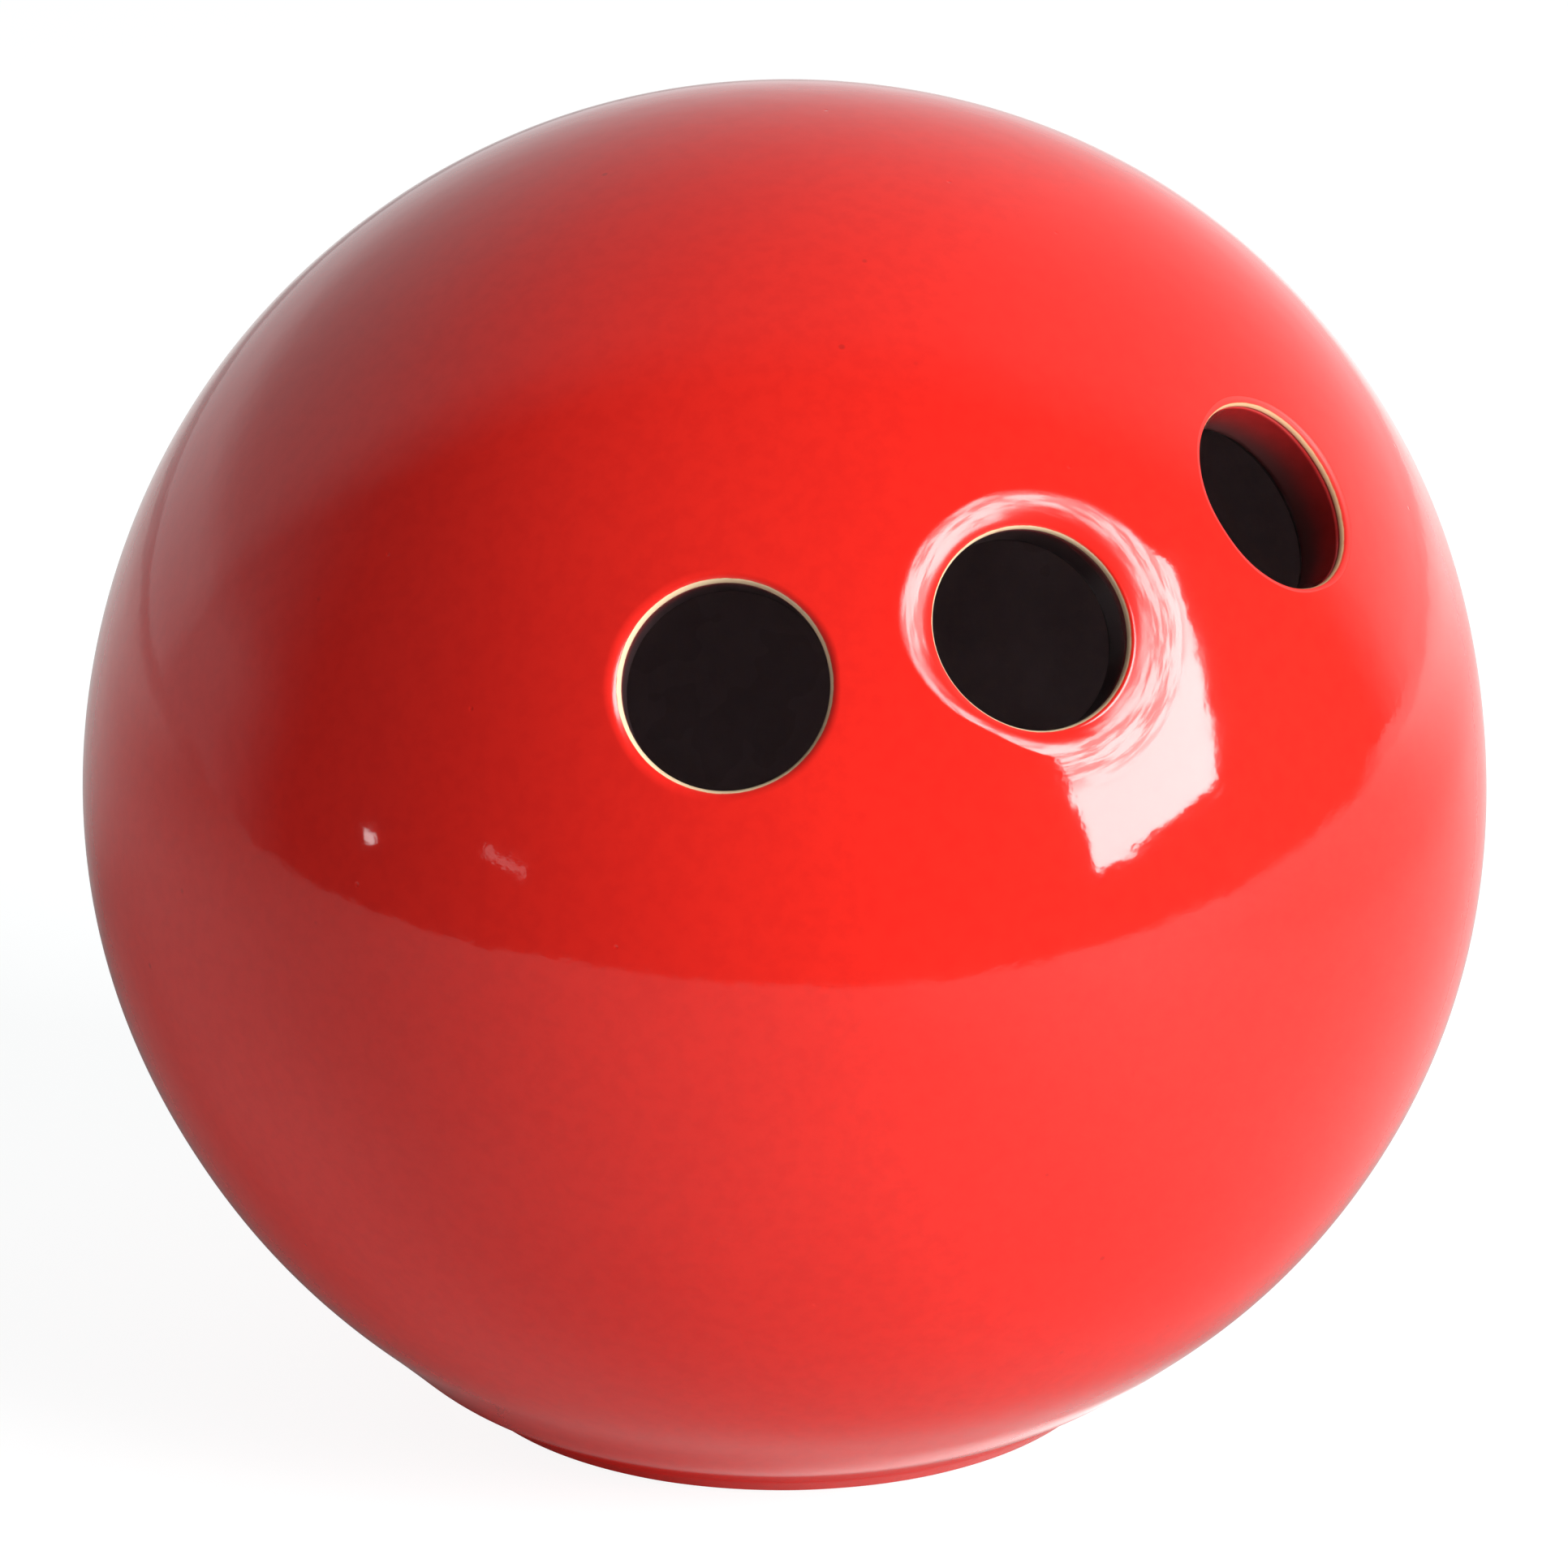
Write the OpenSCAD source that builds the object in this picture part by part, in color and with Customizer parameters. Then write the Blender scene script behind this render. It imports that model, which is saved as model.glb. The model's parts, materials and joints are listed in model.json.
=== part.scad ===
// Decorative bowling ball: a hollow glazed ceramic ball on a low turned foot,
// with three round holes in a gentle arc across its front.
// Millimetres. +Z is up. The origin is the centre of the foot's resting ring.
// The middle hole faces the front, which is -Y; right is +X.

/* [Ball] */
// Outside diameter of the glazed ball
ball_d = 216; // [200:1:230]
// Thickness of the ball's wall, from the glazed surface to the inner clay face
wall_t = 9.2; // [8:0.2:11]
// Thickness of the flat floor inside, measured up from the recess under the foot
floor_t = 8; // [6:0.5:10]

/* [Foot] */
// How far up into the ball's bottom the resting plane cuts
foot_cut = 11.7; // [10:0.1:13]
// How far the foot's edge stands out past the ball's own circle at the resting plane
foot_proud = 2.4; // [2:0.1:3.5]
// Lean of the foot's flank from vertical, in degrees
flank_angle = 45; // [42:1:48]
// Radius of the hollow curve turned between the flank and the ball
crease_r = 16; // [12:1:20]
// How deep that hollow curve cuts into the ball's round form
crease_d = 0.6; // [0.4:0.1:1]
// Rounding along the foot's bottom edge
foot_edge_r = 1.6; // [1.2:0.1:2]
// Width of the unglazed ring that the ball rests on
foot_ring_w = 5.5; // [4:0.5:7]
// Depth of the recess inside the foot ring
recess_h = 3; // [2:0.25:4]

/* [Holes] */
// Clear diameter of each hole, inside its glaze
hole_d = 28.6; // [24:0.2:31]
// Radius of the small lip that rolls over into the left and right holes
lip_r = 2; // [1.5:0.1:3]
// Radius of the middle hole's wide, soft lip
soft_lip_r = 6; // [5:0.25:7.5]
// How far the wide lip has turned down where it meets the middle hole's wall, in degrees
soft_lip_turn = 50; // [45:1:60]
// Left hole, turn to the left of the front, in degrees
left_turn = 26.4; // [25:0.1:35]
// Left hole, height above the ball's equator, in degrees
left_rise = 25.1; // [15:0.1:35]
// Middle hole, height above the ball's equator, in degrees
middle_rise = 28.5; // [20:0.1:35]
// Right hole, turn to the right of the front, in degrees
right_turn = 30.7; // [29:0.1:38]
// Right hole, height above the ball's equator, in degrees
right_rise = 34.5; // [25:0.1:40]

/* [Glaze] */
// Thickness of the red outer glaze and of the glaze on the hole walls
glaze_t = 0.6; // [0.4:0.05:0.8]
// Thickness of the dark liner glaze inside the ball
liner_t = 0.4; // [0.3:0.05:0.6]
// Height above the resting plane at which the outer glaze stops
glaze_stop = 0.8; // [0.6:0.1:1]
// Length along each lip's curve, up from the hole wall, where the glaze has run thin and left clay showing
bare_lip = 0.4; // [0.3:0.05:0.7]

/* [Hidden] */
$fn = 180;

wall_glaze_red = [0.55, 0.05, 0.05];

ball_r = ball_d / 2;
ball_z = ball_r - foot_cut;          // height of the ball's centre
hollow_r = ball_r - wall_t;          // radius of the hollow, at the clay
floor_z = recess_h + floor_t;        // height of the hollow's clay floor
block_w = 4 * ball_r;                // side of a cutting block wider than the ball

// Foot. Pairs are [radius, height].
foot_r = sqrt(ball_r * ball_r - ball_z * ball_z) + foot_proud; // flank's line at the resting plane
flank_out = [cos(flank_angle), -sin(flank_angle)];             // outward normal of the flank
flank_up = [sin(flank_angle), cos(flank_angle)];               // direction up the flank
ring_inset = 1.2;                    // from the clay flank's line in to the ring's outer edge
recess_r = flank_foot_r(glaze_t) - ring_inset - foot_ring_w;
recess_over = 1;                     // how far the recess cutter starts below the resting plane
tuck_in = 6;                         // how far the foot's outline reaches into the ball
tuck_up = 1;                         // how far it rises past the end of the crease

// Centre of the crease: the circle touches the flank and cuts crease_d into the ball.
// It is found by sliding up a line crease_r outside the flank.
crease_start = [foot_r, 0] + crease_r * flank_out;
start_from_ball = crease_start - [0, ball_z];
start_along = start_from_ball * flank_up;
crease_reach = ball_r - crease_d + crease_r;  // from the ball's centre to the crease's centre
crease_slide = -start_along
    - sqrt(start_along * start_along - start_from_ball * start_from_ball
           + crease_reach * crease_reach);
crease_c = crease_start + crease_slide * flank_up;

// Each hole: [turn to the right, rise, lip radius, angle the lip turns down]
LEFT = [-left_turn, left_rise, lip_r, 90];
MIDDLE = [0, middle_rise, soft_lip_r, soft_lip_turn];
RIGHT = [right_turn, right_rise, lip_r, 90];
HOLES = [LEFT, MIDDLE, RIGHT];
hole_r = hole_d / 2;
hole_base = hollow_r - 14;           // where hole profiles start, out from the ball's centre
cut_over = 4;                        // how far a hole's cutter passes the ball's surface
sleeve_gap = 0.1;                    // from the wall glaze's top to the clay lip

// Radius at which the flank's line meets the resting plane, inset from the glazed surface
function flank_foot_r(inset) = foot_r - inset / flank_out[0];

// Centre of a lip's curve: distance from the hole's axis, and distance along it
function lip_x(hole) = hole_r + hole[2] * sin(hole[3]);
function lip_z(hole) = sqrt((ball_r - hole[2]) * (ball_r - hole[2]) - lip_x(hole) * lip_x(hole));

// Top of a hole wall's glaze, just short of the clay lip's curve; max() guards against rounding
function sleeve_top(hole) =
    let (curve_r = hole[2] - glaze_t, across = hole[2] * sin(hole[3]) - glaze_t)
    lip_z(hole) + sqrt(max(0, curve_r * curve_r - across * across)) - sleeve_gap;

// Block that takes away everything below a height
module below(z, depth = block_w) {
    translate([0, 0, z - depth / 2]) cube([block_w, block_w, depth], center = true);
}

// Sphere about the ball's centre, cut flat at a height
module ball_above(r, z) {
    difference() {
        translate([0, 0, ball_z]) sphere(r = r);
        below(z);
    }
}

// The glazed form's outside when inset is 0, and the clay's outside when it is glaze_t
module outside(inset) {
    form_r = ball_r - inset;
    curve_r = crease_r + inset;
    edge_r = foot_edge_r - inset / 2;
    edge_x = flank_foot_r(inset) - edge_r * (1 - sin(flank_angle)) / cos(flank_angle);
    flank_bottom = [edge_x, edge_r] + edge_r * flank_out;
    flank_top = crease_c - curve_r * flank_out;
    // where the crease runs out onto the ball, as an angle from straight down
    end_angle = atan2(crease_c[0], ball_z - crease_c[1])
        + acos((form_r * form_r + crease_reach * crease_reach - curve_r * curve_r)
               / (2 * form_r * crease_reach));
    crease_end = [form_r * sin(end_angle), ball_z - form_r * cos(end_angle)];

    ball_above(form_r, crease_end[1]);
    rotate_extrude() {
        difference() {
            polygon([
                [0, 0], [edge_x, 0], [edge_x, edge_r],
                flank_bottom, flank_top, crease_end,
                crease_end + [-tuck_in, tuck_up], [0, crease_end[1] + tuck_up]
            ]);
            translate(crease_c) circle(r = curve_r);
        }
        // rounded bottom edge
        intersection() {
            translate([edge_x, edge_r]) circle(r = edge_r);
            translate([edge_x, 0]) square([edge_r, edge_r]);
        }
    }
}

// Room inside the ball, bounded by the clay or by a coat of glaze on it
module hollow(coat) {
    ball_above(hollow_r - coat, floor_z + coat);
}

// Puts its children on a hole's axis: +Z runs out of the ball from its centre
module on_hole(hole) {
    translate([0, 0, ball_z])
    rotate([0, 0, hole[0]])
    rotate([90 - hole[1], 0, 0])
    children();
}

// What the holes and their rolled lips take away: glazed when inset is 0, clay when it is glaze_t
module all_holes(inset) {
    for (hole = HOLES) on_hole(hole) hole_cut(inset, hole);
}

module hole_cut(inset, hole) {
    centre = [lip_x(hole), lip_z(hole)];
    // the line from the ball's centre through the lip's centre, run on past the surface
    top = centre * (ball_r + cut_over) / (ball_r - hole[2]);
    rotate_extrude() {
        translate([0, hole_base]) square([hole_r + inset, top[1] - hole_base]);
        difference() {
            polygon([[0, centre[1]], centre, top, [0, top[1]]]);
            translate(centre) circle(r = hole[2] - inset);
        }
    }
}

// Takes the outer glaze away from each hole's wall and from the bare part of its lip
module all_breaks() {
    for (hole = HOLES) on_hole(hole) glaze_break(hole);
}

module glaze_break(hole) {
    x = lip_x(hole);
    z = lip_z(hole);
    bare_angle = bare_lip / hole[2] * 180 / PI;
    rotate_extrude()
    polygon([[0, hole_base], [x, hole_base], [x, z], [0, z + x * tan(90 - hole[3] + bare_angle)]]);
}

// Glaze that lines one hole's wall, from the hollow up to the lip
module hole_sleeve(hole) {
    difference() {
        on_hole(hole)
        rotate_extrude()
        translate([hole_r, hole_base])
        square([glaze_t, sleeve_top(hole) - hole_base]);
        translate([0, 0, ball_z]) sphere(r = hollow_r);
    }
}

// Solid core of a hole, out to the clay, from the ball's centre
module hole_core(hole) {
    on_hole(hole) cylinder(r = hole_r + glaze_t, h = ball_r);
}

// One fired clay casting: ball, foot ring, floor and holes
module clay_body() {
    color([0.90, 0.80, 0.62])
    difference() {
        outside(glaze_t);
        hollow(0);
        all_holes(glaze_t);
        translate([0, 0, -recess_over]) cylinder(r = recess_r, h = recess_h + recess_over);
    }
}

// Red gloss coat over the ball and the foot's flank
module outer_glaze() {
    color([0.86, 0.07, 0.05])
    difference() {
        outside(0);
        difference() {
            outside(glaze_t);
            all_holes(glaze_t);
        }
        hollow(0);
        below(glaze_stop, depth = ball_d);
        all_holes(0);
        all_breaks();
    }
}

module left_hole_glaze() {
    color(wall_glaze_red) hole_sleeve(LEFT);
}

module middle_hole_glaze() {
    color(wall_glaze_red) hole_sleeve(MIDDLE);
}

module right_hole_glaze() {
    color(wall_glaze_red) hole_sleeve(RIGHT);
}

// Dark coat poured round the inside, so that the ball holds water
module inner_glaze() {
    color([0.10, 0.07, 0.07])
    difference() {
        hollow(0);
        hollow(liner_t);
        hole_core(LEFT);
        hole_core(MIDDLE);
        hole_core(RIGHT);
    }
}

// Thin clear-brown coat on the ceiling of the recess under the foot
module base_glaze() {
    color([0.72, 0.52, 0.40])
    translate([0, 0, recess_h - liner_t])
    cylinder(r = recess_r, h = liner_t);
}

clay_body();
outer_glaze();
left_hole_glaze();
middle_hole_glaze();
right_hole_glaze();
inner_glaze();
base_glaze();
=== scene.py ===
# A red-glazed ceramic ball with three round holes and a glazed foot.
# Z is up, the floor is z = 0 and the ball's centre is on the Z axis. The camera looks from -Y,
# turned a little toward -X. Shapes are worked out in millimetres, the glaze about the ball's
# centre, and turned into metres when a mesh is made.
import json
import math
from collections import namedtuple
from functools import cached_property

import bpy
import numpy as np
from mathutils import Matrix, Vector
from mathutils.geometry import delaunay_2d_cdt

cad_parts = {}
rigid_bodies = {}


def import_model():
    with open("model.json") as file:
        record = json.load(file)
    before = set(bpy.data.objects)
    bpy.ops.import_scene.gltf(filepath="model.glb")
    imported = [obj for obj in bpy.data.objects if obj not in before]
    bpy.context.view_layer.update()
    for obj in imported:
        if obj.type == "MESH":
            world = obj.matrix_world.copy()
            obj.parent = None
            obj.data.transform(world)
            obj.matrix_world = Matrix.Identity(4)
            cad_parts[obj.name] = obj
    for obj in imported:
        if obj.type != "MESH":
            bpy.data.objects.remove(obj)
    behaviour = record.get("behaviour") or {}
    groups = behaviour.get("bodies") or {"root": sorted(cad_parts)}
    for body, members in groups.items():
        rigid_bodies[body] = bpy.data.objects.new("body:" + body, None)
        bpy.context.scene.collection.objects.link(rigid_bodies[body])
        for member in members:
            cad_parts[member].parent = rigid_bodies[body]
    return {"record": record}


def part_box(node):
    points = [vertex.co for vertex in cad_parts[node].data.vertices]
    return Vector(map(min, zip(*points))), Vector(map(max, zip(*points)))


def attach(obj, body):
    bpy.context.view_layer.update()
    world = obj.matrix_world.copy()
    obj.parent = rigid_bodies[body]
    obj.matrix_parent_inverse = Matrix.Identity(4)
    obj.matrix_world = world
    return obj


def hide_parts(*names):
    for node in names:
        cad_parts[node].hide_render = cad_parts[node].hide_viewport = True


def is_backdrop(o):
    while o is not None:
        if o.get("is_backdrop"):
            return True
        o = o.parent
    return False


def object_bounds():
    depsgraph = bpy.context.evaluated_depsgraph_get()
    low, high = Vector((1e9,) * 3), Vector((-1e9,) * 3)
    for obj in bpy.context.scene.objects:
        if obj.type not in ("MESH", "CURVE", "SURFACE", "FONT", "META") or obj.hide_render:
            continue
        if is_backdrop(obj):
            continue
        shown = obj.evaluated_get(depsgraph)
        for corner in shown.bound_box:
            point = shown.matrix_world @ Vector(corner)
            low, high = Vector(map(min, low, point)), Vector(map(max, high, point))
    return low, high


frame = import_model()


def snapped(size, nominal, slack):
    """The nominal size if the measured one is within slack of it."""
    return nominal if abs(size - nominal) < slack else size


# ------------------------------------------------------------------ sizes, in millimetres
CAD_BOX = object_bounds()
MOUNTS = {mount["name"]: mount for mount in frame["record"]["mounts"]}
HOLES = ["left_hole", "middle_hole", "right_hole"]

coat_low, coat_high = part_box("outer_glaze")
BALL_R = snapped(round((coat_high.x - coat_low.x) * 1000) / 2.0, nominal=108.0, slack=0.3)
CENTRE_Z = snapped(coat_high.z * 1000 - BALL_R, nominal=96.3, slack=0.2)
CENTRE = np.array([0.0, 0.0, CENTRE_Z])
HOLE_R = MOUNTS["left_hole"]["dims"]["r_mm"]    # clear radius of a hole
GLAZE = 0.6                                     # thickness of the glaze
HOLLOW_R = BALL_R - 9.2

FOOT_PROUD = 2.4                                # foot's radius beyond the ball's cut by the floor
GROOVE_R = 16.0                                 # curve of the groove above the foot
GROOVE_DEPTH = 0.6
EDGE_R = 1.6                                    # rounding of the foot's lower edge
FLANK = math.radians(45)                        # slope of the foot's flank

# mesh counts
HOLE_POINTS, FOOT_POINTS = 240, 480             # points in each ring of the mesh
FLAT_ROWS, BEND_ROWS, CORNER_ROWS = 5, 30, 16   # rings across a lip
FLANK_ROWS, EDGE_ROWS = 34, 8                   # rings down the foot
BALL_STEP = 2.0      # spacing of the points on the open ball
LINER_POINTS = 192

# the camera: azimuth and elevation about the ball's centre, distance in ball radii
CAM_AZ, CAM_EL, CAM_DIST = math.radians(-21.5), math.radians(18.3), 8.0
TOWARD = np.array([math.sin(CAM_AZ), -math.cos(CAM_AZ), 0.0])   # level, ball to camera
RIGHT = np.array([math.cos(CAM_AZ), math.sin(CAM_AZ), 0.0])     # the camera's right
UP = np.array([0.0, 0.0, 1.0])
CAM_DIR = TOWARD * math.cos(CAM_EL) + UP * math.sin(CAM_EL)
CAM_UP = -TOWARD * math.sin(CAM_EL) + UP * math.cos(CAM_EL)

NEAR_TAU = 6.283                                # a full turn, rounded


def unit(vector):
    vector = np.asarray(vector, float)
    return vector / np.linalg.norm(vector)


def smooth(x, start, end):
    t = np.clip((x - start) / (end - start), 0.0, 1.0)
    return t * t * (3 - 2 * t)


AXES = {hole: unit(MOUNTS[hole]["axis"]) for hole in HOLES}


def basis(axis):
    """Two directions square to a hole's axis: to the camera's right, and up the ball."""
    right = unit(RIGHT - axis * (RIGHT @ axis))
    up = np.cross(axis, right)
    if up @ CAM_UP < 0:
        up = -up
    return right, up


# ------------------------------------------------------------------ hand-made unevenness
def outline_dir(degrees):
    """Direction of a point on the ball's outline, clockwise from the top for the camera."""
    angle = math.radians(degrees)
    return unit(RIGHT * math.sin(angle) + CAM_UP * math.cos(angle) + CAM_DIR * 0.125)


# broad swells and hollows: direction, height, tightness
SWELLS = [(outline_dir(degrees), height, tightness) for degrees, height, tightness in (
    (46, 0.66, 9.0), (84, -0.46, 16.0), (120, 0.66, 9.0), (151, -0.30, 60.0),
    (221, -0.58, 13.0), (264, 0.30, 14.0), (351, -0.42, 9.0), (70, 0.14, 30.0),
    (300, -0.12, 8.0))]
SWELLS += [(unit(-TOWARD + 0.3 * UP), 0.35, 3.0),
           (unit(-TOWARD - 0.5 * RIGHT - 0.4 * UP), -0.3, 6.0),
           (unit(TOWARD * 0.9 + 0.1 * UP - 0.35 * RIGHT), 0.16, 5.0)]

# fine waves: direction, frequency, phase, height
wave_rng = np.random.RandomState(11)
WAVES = [(unit(wave_rng.normal(size=3)), wave_rng.uniform(5.0, 13.0),
          wave_rng.uniform(0, NEAR_TAU), 0.045 / (1 + 0.25 * k)) for k in range(12)]

SWELL_MEAN = -0.10
SWELL_SOFT, SWELL_SPAN = -0.3, 0.2              # hollows deeper than this level off over the span
SWELL_LIMITS = (-0.5, 0.6)


def swell(directions):
    """How far the surface stands off the true ball, for unit directions (n, 3)."""
    height = np.full(len(directions), SWELL_MEAN)
    for centre, peak, tightness in SWELLS:
        height += peak * np.exp(tightness * (directions @ centre - 1))
    for centre, frequency, phase, peak in WAVES:
        height += peak * np.sin(frequency * (directions @ centre) + phase)
    levelled = SWELL_SOFT - SWELL_SPAN * np.tanh((SWELL_SOFT - height) / SWELL_SPAN)
    height = np.where(height < SWELL_SOFT, levelled, height)
    return np.clip(height, *SWELL_LIMITS)


# ------------------------------------------------------------------ soft lips
# Profiles are (rho, z): distance from a hole's axis, and height along it from the ball's centre.
# cad_r, cad_turn   the clay lip's radius, and degrees it has turned down where it meets the wall
# width, swing      mean width of the glazed lip, and how much more it has on its wide side
# wide_at           the wide side, degrees anticlockwise from the camera's right
# oval              the width's second harmonic
# drop, drop_swing  mean fall across the lip, and its change round the hole
# corner            radius of the small corner that turns into the wall
# rim_deg           where the ring of mesh starts, degrees from the hole's axis
# thin_band         steepness in degrees over which the glaze thins
Lip = namedtuple("Lip", "cad_r cad_turn width swing wide_at oval drop drop_swing corner"
                        " rim_deg thin_band")
LIPS = {
    "left_hole": Lip(2.0, 90.0, 1.5, 0.25, 200.0, 0.12, 0.60, 0.05, 1.8, 10.2, (31.0, 48.0)),
    "middle_hole": Lip(6.0, 50.0, 6.15, 1.3, 30.0, 1.0, 1.50, 0.26, 1.3, 12.9, (32.0, 52.0)),
    "right_hole": Lip(2.0, 90.0, 0.75, 0.1, 60.0, 0.05, 0.28, 0.03, 1.4, 10.0, (40.0, 60.0)),
}
MIN_GLAZE = 0.05                                # least glaze left on the clay
CLEARANCE = 0.01                                # gap between the coat's underside and the clay


def from_axis(angles):
    """Unit (rho, z) directions at angles from the axis."""
    return np.stack([np.sin(angles), np.cos(angles)], 1)


def clay_line(lip):
    """The clay's outline from the ball's face over the lip and down the wall.

    Returns dense points, their outward normals, and the z where the wall meets the lip."""
    lip_rho = HOLE_R + lip.cad_r * math.sin(math.radians(lip.cad_turn))
    lip_z = math.sqrt((BALL_R - lip.cad_r) ** 2 - lip_rho * lip_rho)
    lip_from = math.atan2(lip_rho, lip_z)
    ball_normals = from_axis(np.arange(math.radians(16), lip_from, -0.02 / BALL_R))
    clay_r = lip.cad_r - GLAZE
    lip_to = math.asin(max(-1.0, (HOLE_R + GLAZE - lip_rho) / clay_r))
    lip_normals = from_axis(np.arange(lip_from, lip_to, -0.01 / lip.cad_r))
    lip_points = np.array([lip_rho, lip_z]) + clay_r * lip_normals
    corner_z = lip_points[-1, 1]
    z = np.arange(corner_z, HOLLOW_R - 1, -0.02)
    wall_points = np.stack([np.full(len(z), HOLE_R + GLAZE), z], 1)
    wall_normals = np.stack([np.full(len(z), -1.0), np.zeros(len(z))], 1)
    points = np.concatenate([(BALL_R - GLAZE) * ball_normals, lip_points, wall_points])
    return points, np.concatenate([ball_normals, lip_normals, wall_normals]), corner_z


CLAY = {hole: clay_line(LIPS[hole]) for hole in HOLES}


def bell(phi, at, spread):
    """A bump of height 1 round the hole, its place and spread in degrees."""
    offset = (math.degrees(phi) - at + 180) % 360 - 180
    return math.exp(-(offset / spread) ** 2)


def lip_size(hole, phi):
    """The width and drop of a lip at an angle round its hole."""
    lip = LIPS[hole]
    at = lip.wide_at
    width = (lip.width + lip.swing * math.cos(phi - math.radians(at))
             + lip.oval * math.cos(2 * phi)
             + 0.05 * lip.width ** 0.5
             * (math.sin(5 * phi + at) + 0.6 * math.sin(9 * phi + 2 * at)))
    drop = (lip.drop + lip.drop_swing * math.cos(phi - math.radians(at + 100))
            + 0.03 * math.sin(3 * phi + at))
    if hole == "middle_hole":
        # shallowest at the lower right, narrowest at the lower left
        drop -= 0.42 * bell(phi, at=-45, spread=40.0)
        pinch = bell(phi, at=-112, spread=36.0)
        width *= 1 - 0.50 * pinch
        drop *= 1 - 0.42 * pinch
    return width, drop


def ridges(run, width, phi):
    """Faint ridges along the lip: a coarse and a finer wave that wander round the hole."""
    fade = np.sin(math.pi * np.clip(run / width, 0, 1)) ** 1.5
    fine = np.sin(NEAR_TAU * run / 1.45
                  + 1.6 * math.sin(2 * phi + 0.5) + 1.1 * math.sin(5 * phi + 1.0))
    coarse = np.sin(NEAR_TAU * run / 2.3 - 2.0 * math.sin(3 * phi) + 0.9 * math.sin(8 * phi))
    return fade * 0.010 * (fine * (0.6 + 0.4 * math.sin(3 * phi + 2.2)) + 0.5 * coarse)


def lip_profile(hole, phi):
    """The glaze from the rim of the ring of mesh down to the wall, at an angle round the hole.

    Returns rows of rho, z, the normal's rho and z, the rho and z of the matching points just
    off the clay, and the steepness in degrees."""
    lip = LIPS[hole]
    width, drop = lip_size(hole, phi)

    # the wide bend
    bend = 2 * math.atan2(drop, width)
    lean = math.atan2(HOLE_R, BALL_R)
    corner_from = math.atan(math.tan(bend) + math.tan(lean)) if bend < 1.45 else bend
    bend_rho = HOLE_R + lip.corner * (1 - math.sin(corner_from))
    bend_r = width / math.sin(bend)
    bend_turn = np.linspace(0, bend, BEND_ROWS + 1)
    rho = bend_rho + width - bend_r * np.sin(bend_turn)
    z = np.sqrt(BALL_R * BALL_R - rho * rho) - bend_r * (1 - np.cos(bend_turn))
    if hole == "middle_hole":
        z += ridges(bend_rho + width - rho, width, phi)

    # the small corner
    corner_turn = np.linspace(corner_from, math.pi / 2, CORNER_ROWS + 1)[1:]
    corner_rho = HOLE_R + lip.corner * (1 - np.sin(corner_turn))
    corner_z = z[-1] - lip.corner * (math.cos(corner_from) - np.cos(corner_turn))

    # the ball's own face
    rim = math.radians(lip.rim_deg)
    bend_at = math.asin((bend_rho + width) / BALL_R)
    if rim < bend_at + 0.002:
        raise RuntimeError("the lip of %s runs past its ring of mesh" % hole)
    face = np.linspace(rim, bend_at, FLAT_ROWS + 1)[:-1]
    rho = np.concatenate([BALL_R * np.sin(face), rho, corner_rho])
    z = np.concatenate([BALL_R * np.cos(face), z, corner_z])
    steep = np.degrees(np.concatenate([np.zeros(FLAT_ROWS), bend_turn, corner_turn]))

    # normals point outward because rho falls along the rows
    step_rho, step_z = np.gradient(rho), np.gradient(z)
    length = np.hypot(step_rho, step_z) + 1e-12
    normal_rho, normal_z = step_z / length, -step_rho / length
    normal_rho[0], normal_z[0] = rho[0] / BALL_R, z[0] / BALL_R

    # keep some glaze over the nearest point of the clay
    points, normals, _ = CLAY[hole]
    nearest = ((rho[:, None] - points[None, :, 0]) ** 2
               + (z[:, None] - points[None, :, 1]) ** 2).argmin(1)
    clay, out = points[nearest], normals[nearest]
    depth = (rho - clay[:, 0]) * out[:, 0] + (z - clay[:, 1]) * out[:, 1]
    low = depth < MIN_GLAZE
    low[0] = False
    rho = np.where(low, clay[:, 0] + MIN_GLAZE * out[:, 0], rho)
    z = np.where(low, clay[:, 1] + MIN_GLAZE * out[:, 1], z)
    under = clay + CLEARANCE * out
    return np.array([rho, z, normal_rho, normal_z, under[:, 0], under[:, 1], steep])


# ------------------------------------------------------------------ the foot's outline
# Outlines here are (radius from the Z axis, height above the floor).
LINE_STEP = 0.05                                # spacing of the dense outline
SOFTEN, SOFTEN_STEPS = 1.9, 110                 # blur that softens the groove, and its reach
FOOT_FROM = math.radians(48.0)                  # the foot's mesh starts here, from straight down
FLANK_OUT = np.array([math.cos(FLANK), -math.sin(FLANK)])
FLANK_UP = np.array([math.sin(FLANK), math.cos(FLANK)])
FOOT_R = math.sqrt(BALL_R * BALL_R - CENTRE_Z * CENTRE_Z) + FOOT_PROUD
GROOVE_REACH = BALL_R - GROOVE_DEPTH + GROOVE_R  # from the ball's centre to the groove's


def groove_centre():
    """Centre of the groove's curve, which touches the flank and cuts the ball."""
    start = np.array([FOOT_R, 0.0]) + GROOVE_R * FLANK_OUT
    offset = start - np.array([0.0, CENTRE_Z])
    along = offset @ FLANK_UP
    slide = -along - math.sqrt(along * along - offset @ offset + GROOVE_REACH * GROOVE_REACH)
    return start + slide * FLANK_UP


GROOVE_C = groove_centre()


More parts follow.
